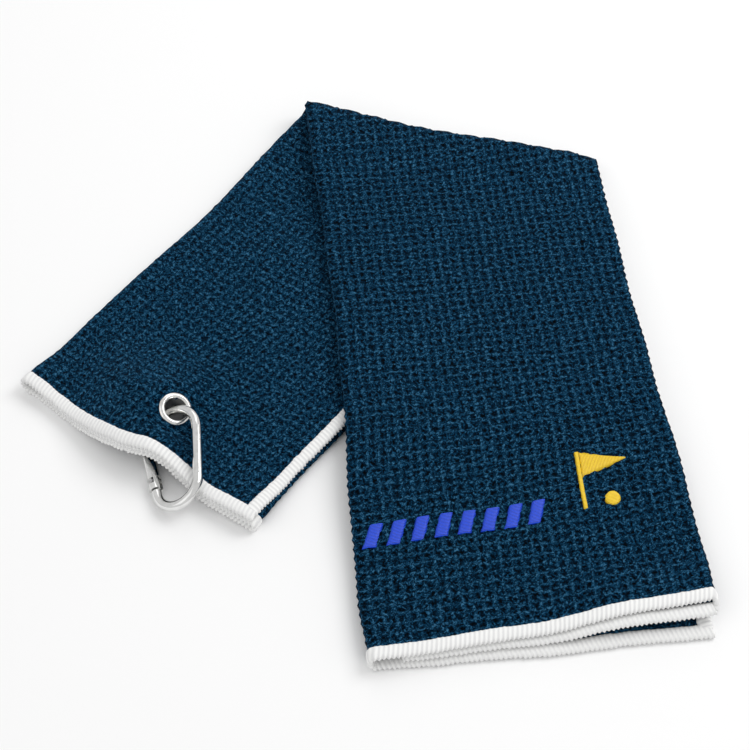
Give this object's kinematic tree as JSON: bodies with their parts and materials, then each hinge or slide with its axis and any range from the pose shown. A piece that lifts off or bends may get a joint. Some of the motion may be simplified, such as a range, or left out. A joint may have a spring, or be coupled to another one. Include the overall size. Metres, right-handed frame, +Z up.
{
  "type": "golf towel",
  "caption": "Waffle towel folded in three and creased across on a slant, with overlocked edges, an eyelet and a sprung carabiner for hanging it on a bag.",
  "frame": {"origin": "middle of the underside of the whole object's box, on the surface it lies on", "axes": "+Z up from that surface; -Y along the front leg towards its embroidered end; the clip leg runs off towards -X and -Y"},
  "size_m": [0.2732, 0.3088, 0.0191],
  "materials": {
    "cloth": "waffle weave microfibre, matt",
    "edging": "overlocked thread, matt",
    "blue_thread": "satin stitch, soft sheen",
    "yellow_thread": "satin stitch, soft sheen",
    "eyelet_metal": "nickel plated, polished",
    "carabiner_metal": "polished, lightly worn",
    "spring_steel": "drawn wire"
  },
  "bodies": {
    "clip_half": {"towel_clip_half": "cloth", "towel_fold": "cloth", "clip_end_edging": "edging", "clip_half_side_edging": "edging", "fold_side_edging": "edging", "clip_half_inner_edging": "edging", "fold_inner_edging": "edging", "eyelet": "eyelet_metal", "eyelet_washer": "eyelet_metal"},
    "front_half": {"towel_front_half": "cloth", "front_end_edging": "edging", "front_half_side_edging": "edging", "front_half_inner_edging": "edging", "stripe_embroidery": "blue_thread", "flag_embroidery": "yellow_thread"},
    "carabiner": {"carabiner_body": "carabiner_metal", "gate_pivot_pin": "carabiner_metal", "latch_pin": "carabiner_metal"},
    "gate": {"carabiner_gate": "carabiner_metal", "gate_spring": "spring_steel"},
    "plunger": {"gate_plunger": "spring_steel"}
  },
  "joints": [
    {"name": "half_fold", "type": "hinge", "parent": "clip_half", "child": "front_half", "pos_m": [0.00108, 0.14863, 0.00615], "axis": [-0.933, 0.36, 0], "range_deg": [0, 175], "deforming": ["towel_fold", "fold_side_edging", "fold_inner_edging"]},
    {"name": "carabiner_swing", "type": "hinge", "parent": "clip_half", "child": "carabiner", "pos_m": [-0.06949, -0.03414, 0.01198], "axis": [0.4035, -0.3658, 0.8387], "range_deg": [-10, 3]},
    {"name": "gate_hinge", "type": "hinge", "parent": "carabiner", "child": "gate", "pos_m": [-0.08133, -0.0512, 0.00295], "axis": [-0.5088, -0.0797, 0.8572], "range_deg": [0, 20], "stiffness_Nm_per_rad": 0.05, "springref_deg": -20.05},
    {"name": "plunger_slide", "type": "slide", "parent": "gate", "child": "plunger", "axis": [0.1547, -0.988, 0], "range_m": [0, 0.0007], "deforming": ["gate_spring"]}
  ],
  "couplings": [
    {"joint": "plunger_slide", "follows": "gate_hinge", "m_per_rad": 0.0016}
  ]
}
